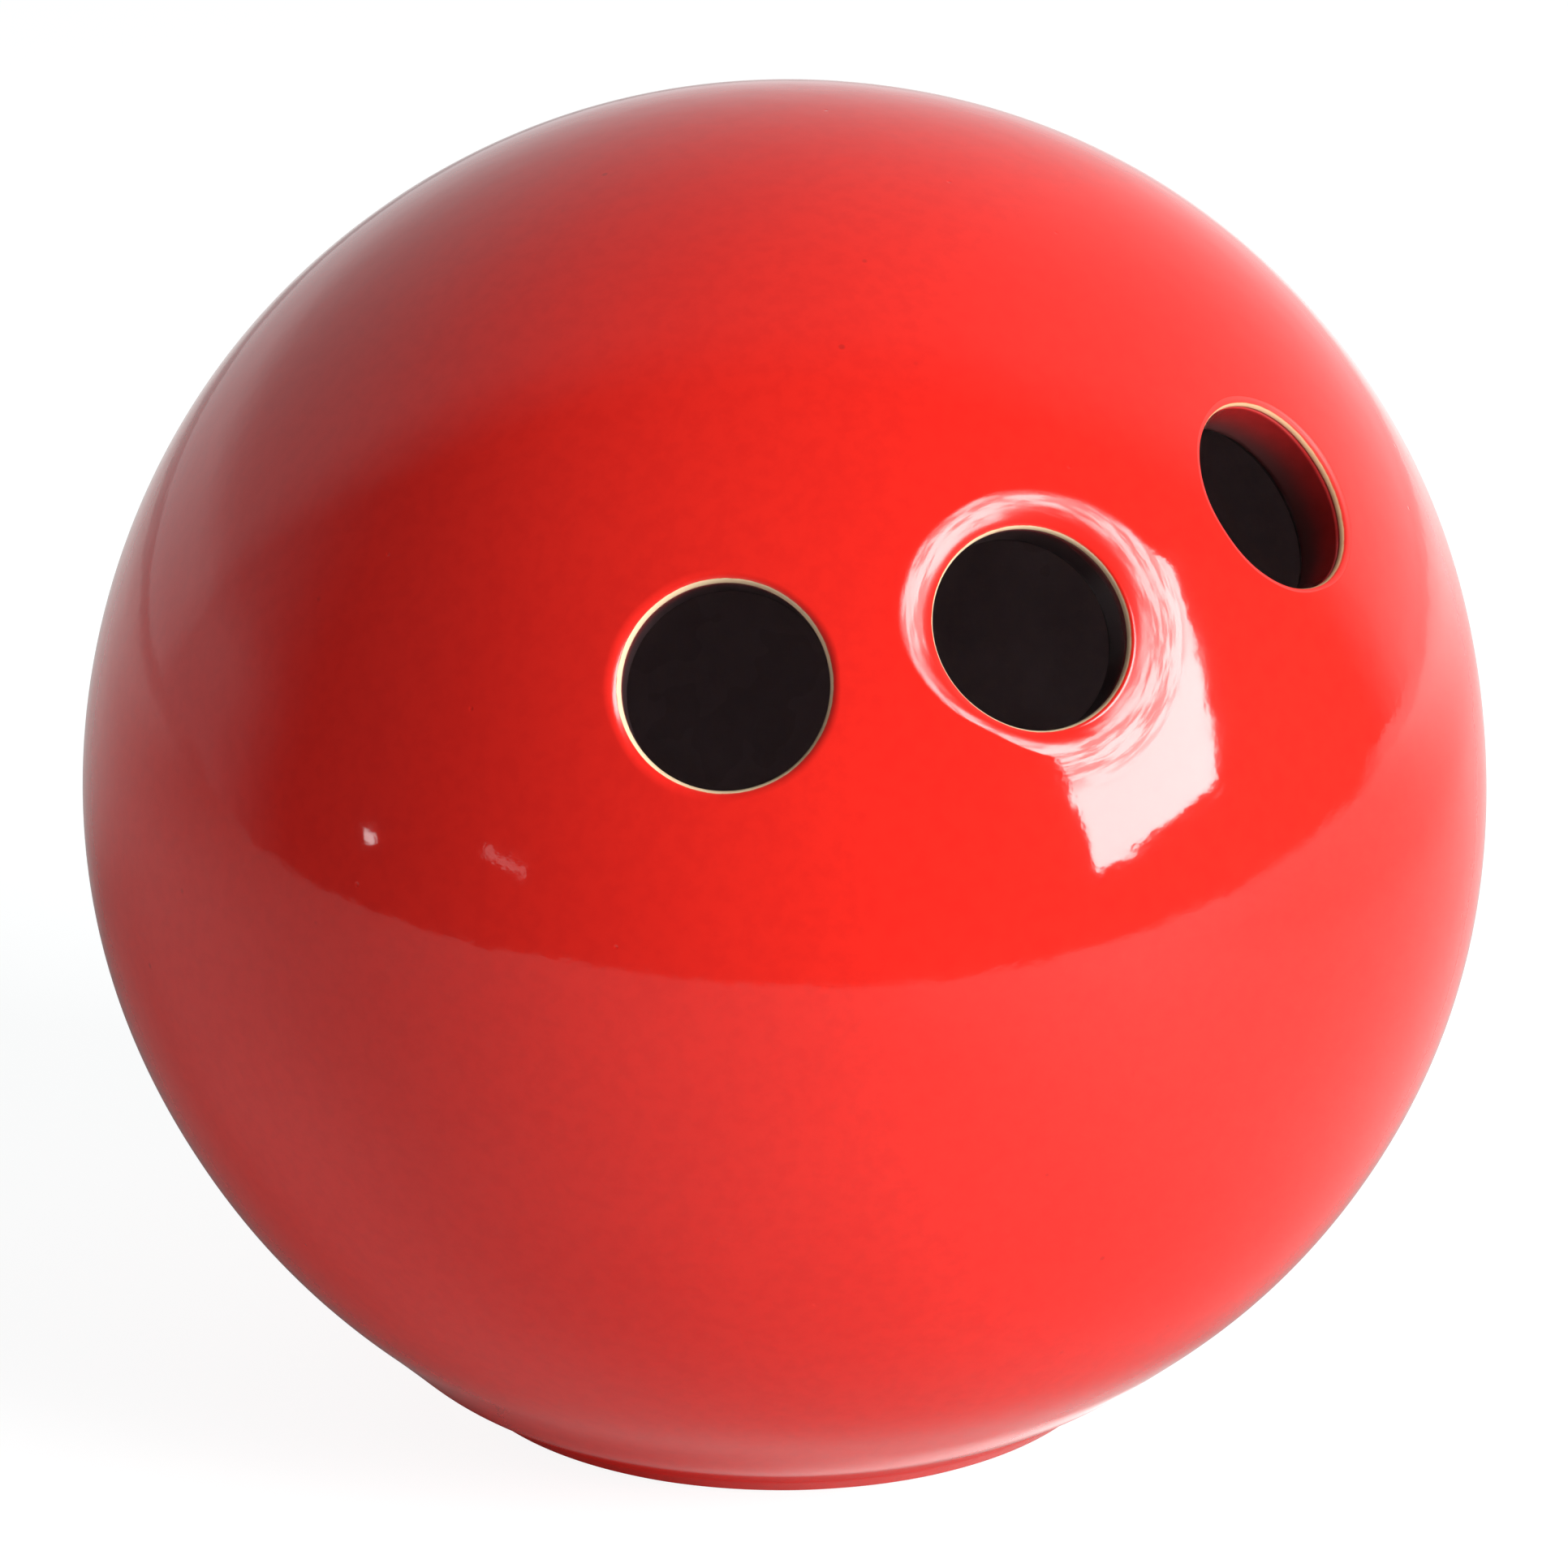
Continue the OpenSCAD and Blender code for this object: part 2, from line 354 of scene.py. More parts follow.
def foot_line(depth):
    """The outline this far under the glaze's surface, from the ball down to the end of the
    flank, with the centre and radius of the foot's rounded lower edge."""
    ball_r, groove_r = BALL_R - depth, GROOVE_R + depth
    opening = math.acos((ball_r ** 2 + GROOVE_REACH ** 2 - groove_r ** 2)
                        / (2 * ball_r * GROOVE_REACH))
    ball_to = math.atan2(GROOVE_C[0], CENTRE_Z - GROOVE_C[1]) + opening
    theta = np.arange(math.radians(56), ball_to, -LINE_STEP / BALL_R)
    ball = np.stack([ball_r * np.sin(theta), CENTRE_Z - ball_r * np.cos(theta)], 1)

    ball_end = np.array([ball_r * math.sin(ball_to), CENTRE_Z - ball_r * math.cos(ball_to)])
    flank_start = GROOVE_C - groove_r * FLANK_OUT
    turn_from = math.atan2(ball_end[1] - GROOVE_C[1], ball_end[0] - GROOVE_C[0])
    turn_to = math.atan2(flank_start[1] - GROOVE_C[1], flank_start[0] - GROOVE_C[0])
    step = LINE_STEP / GROOVE_R
    turn = np.arange(turn_from, turn_to, step if turn_to > turn_from else -step)
    groove = np.stack([GROOVE_C[0] + groove_r * np.cos(turn),
                       GROOVE_C[1] + groove_r * np.sin(turn)], 1)

    edge_r = EDGE_R - depth / 2
    flank_foot = FOOT_R - depth / FLANK_OUT[0]
    edge_x = flank_foot - edge_r * (1 - math.sin(FLANK)) / math.cos(FLANK)
    edge_centre = np.array([edge_x, edge_r])
    fall = edge_centre + edge_r * FLANK_OUT - flank_start
    count = int(np.linalg.norm(fall) / LINE_STEP)
    flank = flank_start + fall * np.linspace(0, 1, count)[:, None]
    return np.concatenate([ball, groove, flank]), edge_centre, edge_r


def foot_profile():
    """Points down the glazed foot with its groove softened, closest together at the bottom."""
    line, edge_centre, edge_r = foot_line(0.0)
    reach = SOFTEN_STEPS
    kernel = np.exp(-0.5 * (np.arange(-reach, reach + 1) * LINE_STEP / SOFTEN) ** 2)
    kernel /= kernel.sum()
    before = line[0] + (line[0] - line[1]) * np.arange(reach, 0, -1)[:, None]
    after = line[-1] + (line[-1] - line[-2]) * np.arange(1, reach + 1)[:, None]
    padded = np.concatenate([before, line, after])
    radius, z = (np.convolve(padded[:, k], kernel, "valid") for k in (0, 1))

    # glaze fills the groove half way back to the plain ball, never past the flank's own line
    on_ball = CENTRE_Z - np.sqrt(BALL_R * BALL_R - radius ** 2)
    on_flank = (radius - FOOT_R) / math.tan(FLANK)
    hull = np.where(radius > 54.1, on_ball, np.maximum(on_ball, on_flank))
    filled = z - 0.5 * np.maximum(z - hull, 0) * smooth(radius, 53.0, 55.5)
    z = np.where(radius > 53.0, filled, z)

    steps = np.hypot(np.diff(radius), np.diff(z))
    run = np.concatenate([[0], np.cumsum(steps)])
    run_from = np.interp(-FOOT_FROM, -np.arctan2(radius, CENTRE_Z - z), run)
    stations = run_from + (run[-1] - run_from) * np.linspace(0, 1, FLANK_ROWS) ** 0.8
    points = np.stack([np.interp(stations, run, radius), np.interp(stations, run, z)], 1)
    points[0] = (BALL_R * math.sin(FOOT_FROM), CENTRE_Z - BALL_R * math.cos(FOOT_FROM))
    return points, edge_centre, edge_r


# ------------------------------------------------------------------ mesh building
def band(first, second, count):
    """Quads between two rings of points that start at the given indices."""
    i = np.arange(count)
    j = (i + 1) % count
    return np.stack([first + i, first + j, second + j, second + i], 1)


def make_object(name, points, face_groups):
    """A smooth object from points in millimetres about the ball's centre."""
    mesh = bpy.data.meshes.new(name)
    faces = [tuple(int(i) for i in face) for group in face_groups for face in group]
    mesh.from_pydata(((points + CENTRE) / 1000.0).tolist(), [], faces)
    mesh.validate(verbose=False)
    mesh.polygons.foreach_set("use_smooth", [True] * len(mesh.polygons))
    mesh.update()
    ob = bpy.data.objects.new(name, mesh)
    bpy.context.scene.collection.objects.link(ob)
    return ob


def add_float(ob, name, values):
    attribute = ob.data.attributes.new(name, "FLOAT", "POINT")
    attribute.data.foreach_set("value", np.asarray(values, np.float32))


def signed_volume(mesh):
    """The mesh's volume, negative when its faces point inward."""
    mesh.calc_loop_triangles()
    points = np.zeros(len(mesh.vertices) * 3)
    mesh.vertices.foreach_get("co", points)
    points = points.reshape(-1, 3)
    corners = np.zeros(len(mesh.loop_triangles) * 3, np.int64)
    mesh.loop_triangles.foreach_get("vertices", corners)
    a, b, c = (points[column] for column in corners.reshape(-1, 3).T)
    return float(np.einsum("ij,ij->i", a, np.cross(b, c)).sum() / 6)


# ------------------------------------------------------------------ the outer coat
# marks on the coat's points, each from 0 to 1, that its material reads
MARKS = ("thin", "wall", "pool", "rigid", "east", "lip", "groove", "foot")


class Sheet:
    """The coat as it is gathered: points, faces, open rims, and seams with the open ball."""

    def __init__(self):
        self.parts = {name: [] for name in ("outer", "under", "normal") + MARKS}
        self.count = 0
        self.faces = []
        self.rims = []                          # first index, count, faces point outward as built
        self.seams = []                         # directions of a ring, and its indices

    def add(self, **fields):
        """Add points; marks that aren't given are 0. Returns the first index."""
        start, count = self.count, len(fields["outer"])
        for name, chunks in self.parts.items():
            chunks.append(fields.get(name, np.zeros(count)))
        self.count += count
        return start

    def add_rings(self, seam, outward, **fields):
        """Add joined rings of points, given as arrays of (ring, point)."""
        rows, count = fields["outer"].shape[:2]
        start = self.add(**{name: values.reshape(rows * count, *values.shape[2:])
                            for name, values in fields.items()})
        quads = np.concatenate([band(start + row * count, start + (row + 1) * count, count)
                                for row in range(rows - 1)])
        self.faces.append(quads if outward else quads[:, ::-1])
        self.rims.append((start + (rows - 1) * count, count, outward))
        directions = seam / np.linalg.norm(seam, axis=1)[:, None]
        self.seams.append((directions, start + np.arange(count)))

    def joined(self):
        return {name: np.concatenate(chunks) for name, chunks in self.parts.items()}


def add_lip(sheet, hole):
    """The rings of points round a hole."""
    axis = AXES[hole]
    right, up = basis(axis)
    phis = np.linspace(0, 2 * math.pi, HOLE_POINTS, endpoint=False)
    radial = np.array([right * math.cos(phi) + up * math.sin(phi) for phi in phis])
    profiles = np.array([lip_profile(hole, phi) for phi in phis]).transpose(1, 2, 0)
    steep = profiles[6]
    outer, normal, under = (profiles[k][:, :, None] * radial + profiles[k + 1][:, :, None] * axis
                            for k in (0, 2, 4))
    normal[0] = outer[0] / BALL_R
    under[0] = normal[0] * (BALL_R - GLAZE + CLEARANCE)
    sheet.add_rings(
        seam=outer[0], outward=np.cross(right, up) @ axis > 0,
        outer=outer, under=under, normal=normal,
        thin=smooth(steep, *LIPS[hole].thin_band), wall=smooth(steep, 78.0, 86.0),
        rigid=smooth(steep, 4.0, 40.0), lip=smooth(steep, 1.5, 9.0),
        east=np.full(steep.shape, 1.0 if hole == "right_hole" else 0.0))


# the foot stands a little toward the camera and to its left of the ball's middle
FOOT_GROW = 0.32                                # moves out by this all round
FOOT_SHIFT = 0.98                               # and by this much sideways
FOOT_SHIFT_DIR = unit(-0.50 * RIGHT + 0.80 * TOWARD)
FOOT_SHIFT_MIN = -0.62
# unevenness of the glaze's lower end: height, waves round the foot, phase
FOOT_END_Z = 0.22
FOOT_END_WAVES = ((0.05, 3, 0.4), (0.04, 7, 2.0), (0.03, 17, 0.0), (0.02, 31, 1.0))
END_TAPER = (0.93, 0.75, 0.5, 0.2)              # glaze thickness left on the last rings
END_SHIFT = (0.8, 0.55, 0.25)                   # share of the shift the last rings take


def clay_under_foot(radius, z):
    """Points just off the clay's foot, nearest to the given ones."""
    line, edge_centre, edge_r = foot_line(GLAZE)
    turn = np.linspace(-FLANK, -1.5, 60)
    edge = np.stack([edge_centre[0] + edge_r * np.cos(turn),
                     edge_centre[1] + edge_r * np.sin(turn)], 1)
    line = np.concatenate([line, edge])
    nearest = ((radius - line[None, :, 0]) ** 2 + (z - line[None, :, 1]) ** 2).argmin(1)
    along = np.gradient(line, axis=0)
    along /= np.linalg.norm(along, axis=1)[:, None]
    out = np.stack([-along[:, 1], along[:, 0]], 1)
    return line[nearest] + CLEARANCE * out[nearest]


def add_foot(sheet):
    """The rings of points down the foot."""
    profile, (edge_x, edge_z), edge_r = foot_profile()
    phis = np.linspace(0, 2 * math.pi, FOOT_POINTS, endpoint=False)
    cos_phi, sin_phi = np.cos(phis), np.sin(phis)

    def around(radius, z):
        return np.stack(np.broadcast_arrays(radius * cos_phi, radius * sin_phi, z), 2)

    # the flank, then the rounded edge down to an uneven end
    end_z = FOOT_END_Z + sum(height * np.sin(waves * phis + phase)
                             for height, waves, phase in FOOT_END_WAVES)
    end_turn = np.arcsin(np.clip((end_z - edge_z) / edge_r, -1, -0.72))
    steps = np.arange(1, EDGE_ROWS + 1)[:, None]
    turn = -FLANK + (end_turn + FLANK) * steps / float(EDGE_ROWS)
    flank_r, flank_z = (np.repeat(profile[:, k][:, None], FOOT_POINTS, 1) for k in (0, 1))
    radius = np.concatenate([flank_r, edge_x + edge_r * np.cos(turn)])
    z = np.concatenate([flank_z, edge_z + edge_r * np.sin(turn)])
    rows = len(radius)

    step_r, step_z = np.gradient(radius, axis=0), np.gradient(z, axis=0)
    length = np.hypot(step_r, step_z) + 1e-12
    outer = around(radius, z - CENTRE_Z)
    normal = around(-step_z / length, step_r / length)
    normal[0] = outer[0] / BALL_R
    clay = clay_under_foot(radius[:, :1], z[:, :1])
    under = around(clay[:, :1], clay[:, 1:] - CENTRE_Z)
    under[0] = normal[0] * (BALL_R - GLAZE + CLEARANCE)

    # thin the last rings onto the clay, then shift the foot sideways
    taper = np.ones(rows)
    taper[-len(END_TAPER):] = END_TAPER
    outer = under + (outer - under) * taper[:, None, None]
    facing = cos_phi * FOOT_SHIFT_DIR[0] + sin_phi * FOOT_SHIFT_DIR[1]
    shift = np.maximum(FOOT_GROW + FOOT_SHIFT * facing, FOOT_SHIFT_MIN)
    polar = np.degrees(np.arctan2(radius, CENTRE_Z - z))
    share = 1 - smooth(polar, 29.0, np.where(shift[None, :] > 0, 42.0, 35.0))
    held = np.ones(rows)
    held[-len(END_SHIFT):] = END_SHIFT
    share = share * held[:, None]
    outer = outer + (share * shift[None, :])[:, :, None] * around(1.0, 0.0)[None]\
        if False else outer + (share * shift[None, :])[:, :, None] * np.stack(
            [cos_phi, sin_phi, np.zeros(FOOT_POINTS)], 1)[None]
    # more glaze fills the groove on the side the foot moves to
    fill = 0.38 * np.exp(-((polar - 33.5) / 3.0) ** 2) * np.clip((facing - 0.35) / 0.5, 0, 1)
    outer = outer + normal * fill[:, :, None]

    height = outer[:, :, 2] + CENTRE_Z
    rigid = 1 - smooth(height, 4.0, 16.0)
    sheet.add_rings(
        seam=normal[0], outward=False, outer=outer, under=under, normal=normal,
        # painted shade low on the foot's flank, under the ball
        pool=np.exp(-((height - 3.5) / 2.2) ** 2), rigid=rigid, lip=rigid,
        groove=smooth(height, 1.6, 3.0) * (1 - smooth(height, 6.4, 8.0)),
        foot=1 - smooth(height, 8.0, 14.0))


def ball_directions():
    """Evenly spread directions on the ball, clear of the foot's and the holes' rings."""
    count = int(4 * math.pi * BALL_R * BALL_R / (BALL_STEP * BALL_STEP * 0.866))
    i = np.arange(count) + 0.5
    z = 1 - 2 * i / count
    azimuth = math.pi * (1 + 5 ** 0.5) * i
    radius = np.sqrt(1 - z * z)
    spread = np.stack([radius * np.cos(azimuth), radius * np.sin(azimuth), z], 1)
    keep = np.arccos(np.clip(-spread[:, 2], -1, 1)) > FOOT_FROM + 0.6 * BALL_STEP / BALL_R
    for hole, axis in AXES.items():
        rim = math.radians(LIPS[hole].rim_deg) + 0.45 * BALL_STEP / BALL_R
        keep &= np.arccos(np.clip(spread @ axis, -1, 1)) > rim
    return spread[keep]


def add_ball(sheet):
    """The rest of the ball, joined to the rings by triangles laid out on a flat map of it."""
    spread = ball_directions()
    start = sheet.add(outer=spread * BALL_R, under=spread * (BALL_R - GLAZE + CLEARANCE),
                      normal=spread)
    edges, base = [], 0
    for _, indices in sheet.seams:
        count = len(indices)
        edges.extend((base + i, base + (i + 1) % count) for i in range(count))
        base += count
    directions = np.concatenate([seam for seam, _ in sheet.seams] + [spread])
    flat = [Vector(point) for point in directions[:, :2] / (1 + directions[:, 2:3])]
    ids = np.concatenate([indices for _, indices in sheet.seams]
                         + [start + np.arange(len(spread))])
    points, _, faces, origins, _, _ = delaunay_2d_cdt(flat, edges, [], 0, 1e-9)
    source = np.array([origin[0] if origin else -1 for origin in origins])
    if (source < 0).any() or len(points) != len(flat):
        raise RuntimeError("the ball's triangles don't use its own points")
    triangles = ids[source[np.array([face for face in faces if len(face) == 3])]]

    # leave the holes open: drop triangles with all three corners on one hole's ring
    ring_of = np.full(sheet.count, -1)
    for number, (_, indices) in enumerate(sheet.seams[:len(HOLES)]):
        ring_of[indices] = number
    rings = ring_of[triangles]
    across = (rings[:, 0] >= 0) & (rings[:, 0] == rings[:, 1]) & (rings[:, 1] == rings[:, 2])
    triangles = triangles[~across]

    outer = np.concatenate(sheet.parts["outer"])
    a, b, c = (outer[triangles[:, k]] for k in range(3))
    inward = (np.cross(b - a, c - a) * outer[triangles].mean(1)).sum(1) < 0
    triangles[inward] = triangles[inward][:, ::-1]
    sheet.faces.append(triangles)


def build_coat():
    sheet = Sheet()
    for hole in HOLES:
        add_lip(sheet, hole)
    add_foot(sheet)
    add_ball(sheet)
    parts = sheet.joined()
    outer, count = parts["outer"], sheet.count
    directions = outer / np.linalg.norm(outer, axis=1)[:, None]
    # the unevenness fades out at the lips and at the foot's edge, where glaze meets clay
    uneven = swell(directions) * (1 - parts["rigid"])
    outer = outer + parts["normal"] * uneven[:, None]
    underside = [faces[:, ::-1] + count for faces in sheet.faces]
    caps = []
    for start, ring_count, outward in sheet.rims:
        quads = band(start, count + start, ring_count)
        caps.append(quads if outward else quads[:, ::-1])
    ob = make_object("red_glaze_coat", np.concatenate([outer, parts["under"]]),
                     sheet.faces + underside + caps)
    for name in MARKS:
        add_float(ob, name, np.concatenate([parts[name], parts[name]]))
    return ob


coat = build_coat()
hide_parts("outer_glaze")
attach(coat, "root")


# ------------------------------------------------------------------ the glaze inside each hole
WALL_LOOPS = 12                                 # loops of points up the visible wall


def build_liner(hole):
    """The wall's glaze, from the outer coat down to a soft lower end in the hollow."""
    axis = AXES[hole]
    right, up = basis(axis)
    count = LINER_POINTS
    phis = np.linspace(0, 2 * math.pi, count, endpoint=False)
    radial = right * np.cos(phis)[:, None] + up * np.sin(phis)[:, None]
    rng = np.random.RandomState(40 + HOLES.index(hole))
    back_r = HOLE_R + GLAZE - 0.012
    corner = CLAY[hole][2]                      # where the clay's wall turns into its lip
    top = np.array([lip_profile(hole, phi)[1][-1] for phi in phis]) - 0.04
    bottom = math.sqrt(HOLLOW_R ** 2 - HOLE_R * HOLE_R) + 0.12
    # radius and height of each loop: up the wall, over the top, and down the back
    loops = [(HOLE_R, (bottom + 0.25) + (top - bottom - 0.25) * part)
             for part in np.linspace(0, 1, WALL_LOOPS)]
    loops += [
        (HOLE_R + 0.10, top - 0.012),
        (HOLE_R + 0.25, top - 0.02),
        (back_r - 0.10, np.minimum(top - 0.03, corner - 0.02)),
        (back_r, np.minimum(top - 0.12, corner - 0.12)),
        (back_r, bottom + 0.3),
        (back_r - 0.15, bottom),
        (HOLE_R + 0.15, bottom),
    ]
    runs = sum(rng.uniform(0.3, 1.0) * np.sin(waves * phis + rng.uniform(0, 6.28))
               for waves in (2, 4, 7, 11)) * 0.035
    points = np.zeros((len(loops), count, 3))
    for k, (loop_r, z) in enumerate(loops):
        z = np.full(count, z)
        radius = np.full(count, loop_r)
        if k < WALL_LOOPS:
            part = np.clip((z - bottom) / (top - bottom), 0, 1)
            radius = radius + np.abs(runs) * 0.8 * np.sin(math.pi * part)
        points[k] = radius[:, None] * radial + z[:, None] * axis
    faces = np.concatenate([band(k * count, (k + 1) % len(loops) * count, count)
                            for k in range(len(loops))])
    ob = make_object(hole + "_liner", points.reshape(-1, 3), [faces])
    if signed_volume(ob.data) < 0:
        ob.data.flip_normals()
    return ob


liners = {}
for hole in HOLES:
    liners[hole] = build_liner(hole)
    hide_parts(hole + "_glaze")
    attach(liners[hole], "root")


# ------------------------------------------------------------------ material helpers
WHITE = (1.0, 1.0, 1.0)
TO_MM = (1000.0, 1000.0, 1000.0)


class Nodes:
    """A node tree written as a chain of small calls."""

    def __init__(self, tree, output):
        self.tree = tree
        tree.nodes.clear()
        self.out = self.add(output)

    def put(self, socket, value):
        """Link a socket to another, or give it a value."""
        if isinstance(value, bpy.types.NodeSocket):
            self.tree.links.new(value, socket)
            return
        if isinstance(value, np.ndarray):
            value = tuple(value.tolist())
        if isinstance(value, tuple) and socket.type == "RGBA" and len(value) == 3:
            value = (*value, 1.0)
        socket.default_value = value

    def add(self, kind, inputs=(), **settings):
        node = self.tree.nodes.new("ShaderNode" + kind)
        for name, value in settings.items():
            setattr(node, name, value)
        for key, value in dict(inputs).items():
            self.put(node.inputs[key], value)
        return node

    def show(self, shader):
        self.put(self.out.inputs["Surface"], shader.outputs[0])

    def math(self, operation, a, b=0.0, c=0.0):
        return self.add("Math", {0: a, 1: b, 2: c}, operation=operation).outputs[0]

    def plus(self, a, b):
        return self.math("ADD", a, b)

    def minus(self, a, b):
        return self.math("SUBTRACT", a, b)

    def times(self, product, *factors):
        for factor in factors:
            product = self.math("MULTIPLY", product, factor)
        return product

    def vector(self, operation, *vectors):
        node = self.add("VectorMath", dict(enumerate(vectors)), operation=operation)
        return node.outputs["Value" if operation in ("LENGTH", "DOT_PRODUCT") else "Vector"]

    def dot(self, a, b):
        return self.vector("DOT_PRODUCT", a, b)

    def from_z_axis(self, point):
        return self.vector("LENGTH", self.vector("MULTIPLY", point, (1.0, 1.0, 0.0)))

    def ramp(self, value, over, to=(0.0, 1.0), kind="SMOOTHSTEP"):
        """Runs between the two values of to as value runs between the two of over."""
        return self.add("MapRange", {
            "Value": value, "From Min": over[0], "From Max": over[1],
            "To Min": to[0], "To Max": to[1]}, interpolation_type=kind, clamp=True,
        ).outputs["Result"]

    def mix(self, share, a, b):
        return self.add("Mix", {0: share, 6: a, 7: b}, data_type="RGBA",
                        clamp_factor=True).outputs[2]


class Paint(Nodes):
    """The nodes of a new material."""

    def __init__(self, name):
        self.material = bpy.data.materials.new(name)
        self.material.use_nodes = True
        super().__init__(self.material.node_tree, "OutputMaterial")

    @cached_property
    def position(self):
        return self.add("NewGeometry").outputs["Position"]

    @cached_property
    def centred(self):
        """Position about the ball's centre, in millimetres."""
        offset = self.vector("SUBTRACT", self.position, (0.0, 0.0, CENTRE_Z / 1000.0))
        return self.vector("MULTIPLY", offset, TO_MM)

    def noise(self, scale, detail=2.0, rough=0.5, at=None):
        return self.add("TexNoise", {
            "Vector": self.position if at is None else at, "Scale": scale,
            "Detail": detail, "Roughness": rough}).outputs["Fac"]

    def cells(self, scale):
        """Distance to the nearest of scattered points."""
        return self.add("TexVoronoi", {
            "Vector": self.position, "Scale": scale}).outputs["Distance"]

    def attr(self, name):
        return self.add("Attribute", attribute_name=name).outputs["Fac"]

    def bump(self, height, distance, strength=1.0, normal=None):
        """Relief of a height in metres, laid over another normal where one is given."""
        inputs = {"Strength": strength, "Distance": distance, "Height": height}
        if normal is not None:
            inputs["Normal"] = normal
        return self.add("Bump", inputs).outputs["Normal"]

    def surface(self, color, rough, normal, spec):
        self.show(self.add("BsdfPrincipled", {
            "Base Color": color, "Roughness": rough, "Specular IOR Level": spec,
            "Normal": normal}))
        return self.material


# ------------------------------------------------------------------ materials
RED = (0.745, 0.0190, 0.0115)
RED_CLOUD = (0.70, 0.0165, 0.0105)
RED_DEEP = (0.62, 0.0130, 0.0095)
RED_SPECK = (0.30, 0.012, 0.010)
RED_THIN = (0.70, 0.085, 0.030)
CREAM = (0.80, 0.60, 0.38)
CREAM_RIGHT = (0.74, 0.44, 0.24)                # on the right hole's lip
# painted shade inside the holes: the wall colours darken for the shade there, and the right
# hole's wall is lighter where window light falls in
WALL_TOP_LIT_RIGHT = (0.52, 0.026, 0.026)                 # top of the right hole's wall
WALL_TOP_SHADED = (0.17, 0.030, 0.031)                # top of the other two
WALL_LOW_SHADED = (0.045, 0.028, 0.029)
WALL_LOW_SHADED_RIGHT = (0.13, 0.045, 0.045)


def red_color(paint, east):
    # broad clouding, fine mottling and the odd darker speck
    cloud = paint.noise(scale=26.0, detail=3.0, rough=0.55)
    mottle = paint.noise(scale=420.0, detail=3.0, rough=0.6)
    color = paint.mix(paint.ramp(cloud, over=(0.32, 0.68), to=(0.0, 0.55)), RED, RED_CLOUD)
    color = paint.mix(paint.ramp(mottle, over=(0.35, 0.7), to=(0.0, 0.34)), color, RED_DEEP)
    speck = paint.times(
        paint.ramp(paint.cells(scale=135.0), over=(0.03, 0.085), to=(1.0, 0.0)),
        paint.ramp(paint.noise(scale=31.0, detail=1.0), over=(0.56, 0.62)))
    color = paint.mix(paint.times(speck, 0.45), color, RED_SPECK)
    # painted shade darkens the foot's flank low down, under the ball
    color = paint.mix(paint.times(paint.attr("pool"), 0.35), color, RED_DEEP)
    # breaking to cream where it thins on the lips
    thin = paint.attr("thin")
    ragged = paint.minus(paint.noise(scale=620.0, detail=3.0, rough=0.6), 0.5)
    edge = paint.plus(thin, paint.times(ragged, 0.5))
    edge = paint.times(edge, paint.ramp(thin, over=(0.0, 0.15)))
    color = paint.mix(paint.ramp(edge, over=(0.36, 0.72)), color, RED_THIN)
    color = paint.mix(paint.ramp(edge, over=(0.68, 0.95)), color,
                      paint.mix(east, CREAM, CREAM_RIGHT))
    # and painted shade darkens it again where it runs down the wall, less on the right hole's
    # wall where window light falls in
    return paint.mix(paint.attr("wall"), color, paint.mix(east, WALL_TOP_SHADED, WALL_TOP_LIT_RIGHT))


def red_relief(paint):
    """Slow ripples, orange peel and rare pinholes; the first two calm at lips and foot."""
    calm = paint.minus(1.0, paint.times(paint.attr("rigid"), 0.8))
    calm = paint.math("MAXIMUM", 0.0, paint.minus(calm, paint.times(paint.attr("foot"), 0.2)))
    ripple = paint.bump(paint.noise(scale=200.0, detail=1.0, rough=0.4),
                        distance=0.000036, strength=calm)
    peel = paint.bump(paint.noise(scale=820.0), distance=0.0000085, strength=calm,
                      normal=ripple)
    pinhole = paint.times(paint.ramp(paint.cells(scale=88.0), over=(0.010, 0.040)), 1.0)
    return paint.bump(pinhole, distance=0.00004, normal=peel)


def lip_streaks(paint):
    """Fine streaks that run round the middle hole's wide lip."""
    axis = AXES["middle_hole"]
    side = unit(np.cross(axis, (0.0, 0.0, 1.0)))
    point = paint.centred
    across, along = paint.dot(point, side), paint.dot(point, np.cross(axis, side))
    squares = paint.plus(paint.times(across, across), paint.times(along, along))
    distance = paint.math("SQRT", squares)
    # stretched round the hole, fine across the lip
    around, outward = 2.4, 1.1
    place = paint.add("CombineXYZ", {
        0: paint.times(paint.math("DIVIDE", across, distance), around),
        1: paint.times(paint.math("DIVIDE", along, distance), around),
        2: paint.times(distance, outward)})
    streak = paint.ramp(paint.noise(scale=1.0, detail=4.0, rough=0.62, at=place.outputs[0]),
                        over=(0.44, 0.60))
    ring = paint.times(paint.ramp(distance, over=(15.2, 16.6)),
                       paint.ramp(distance, over=(20.5, 24.5), to=(1.0, 0.0)),
                       paint.ramp(paint.dot(point, axis), over=(60.0, 80.0)))
    return paint.times(ring, streak, 0.62)


def red_glaze():
    paint = Paint("red gloss glaze")
    east = paint.attr("east")
    color = red_color(paint, east)
    normal = red_relief(paint)
    # rougher on the lips and the foot, most of all on the right hole's lip
    rough = paint.ramp(paint.noise(scale=60.0), over=(0.3, 0.7), to=(0.050, 0.075))
    extra = paint.plus(0.13, paint.times(east, 0.34))
    rough = paint.plus(rough, paint.times(paint.attr("lip"), extra))
    # almost no shine in the groove, and less along the streaks
    spec = paint.minus(0.5, paint.times(paint.attr("groove"), 0.485))
    spec = paint.times(spec, paint.minus(1.0, lip_streaks(paint)))
    return paint.surface(color, rough, normal, spec)


